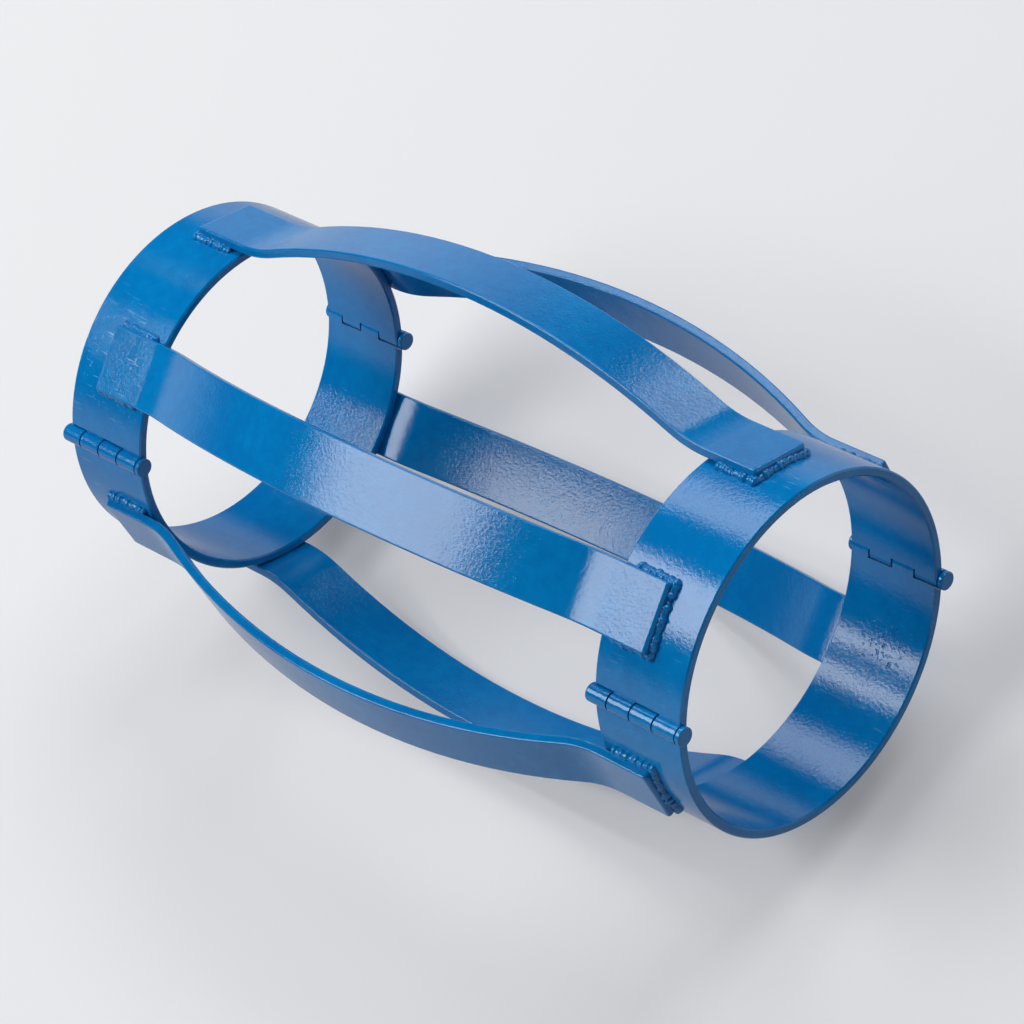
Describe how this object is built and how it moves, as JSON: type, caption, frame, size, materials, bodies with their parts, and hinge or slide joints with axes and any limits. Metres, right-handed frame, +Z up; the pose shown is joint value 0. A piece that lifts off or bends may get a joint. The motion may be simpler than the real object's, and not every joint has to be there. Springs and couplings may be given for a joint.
{
  "type": "hinged casing centralizer",
  "caption": "Hinged bow-spring casing centralizer: split end collars with rolled hinge knuckles and headed pins, joined by joggled welded bows that hold casing central in a borehole.",
  "frame": {"origin": "on the casing axis at mid-length", "axes": "+X along the casing axis towards the pin heads, +Z up with the part lying on its two bottom bows, +Y towards the back hinge's side"},
  "size_m": [0.4419, 0.261, 0.2432],
  "materials": {
    "collar_enamel": "gloss blue enamel with orange peel",
    "bow_enamel": "gloss blue enamel with orange peel",
    "weld_enamel": "gloss blue enamel pooled over rippled beads",
    "pin_enamel": "gloss blue enamel, worn thin on the rims"
  },
  "bodies": {
    "lower_half": {"left_lower_collar": "collar_enamel", "right_lower_collar": "collar_enamel", "front_bow": "bow_enamel", "front_left_weld": "weld_enamel", "front_right_weld": "weld_enamel", "bottom_front_bow": "bow_enamel", "bottom_front_left_weld": "weld_enamel", "bottom_front_right_weld": "weld_enamel", "bottom_back_bow": "bow_enamel", "bottom_back_left_weld": "weld_enamel", "bottom_back_right_weld": "weld_enamel", "left_hinge_pin": "pin_enamel", "right_hinge_pin": "pin_enamel"},
    "upper_half": {"left_upper_collar": "collar_enamel", "right_upper_collar": "collar_enamel", "back_bow": "bow_enamel", "back_left_weld": "weld_enamel", "back_right_weld": "weld_enamel", "top_back_bow": "bow_enamel", "top_back_left_weld": "weld_enamel", "top_back_right_weld": "weld_enamel", "top_front_bow": "bow_enamel", "top_front_left_weld": "weld_enamel", "top_front_right_weld": "weld_enamel"},
    "left_closing_pin": {"left_closing_pin": "pin_enamel"},
    "right_closing_pin": {"right_closing_pin": "pin_enamel"}
  },
  "joints": [
    {"name": "shell_hinge", "type": "hinge", "parent": "lower_half", "child": "upper_half", "pos_m": [0, 0.08227, -0.0475], "axis": [-1, 0, 0], "range_deg": [0, 110]},
    {"name": "left_closing_pin_slide", "type": "slide", "parent": "lower_half", "child": "left_closing_pin", "axis": [1, 0, 0], "range_m": [0, 0.062]},
    {"name": "right_closing_pin_slide", "type": "slide", "parent": "lower_half", "child": "right_closing_pin", "axis": [1, 0, 0], "range_m": [0, 0.062]}
  ]
}
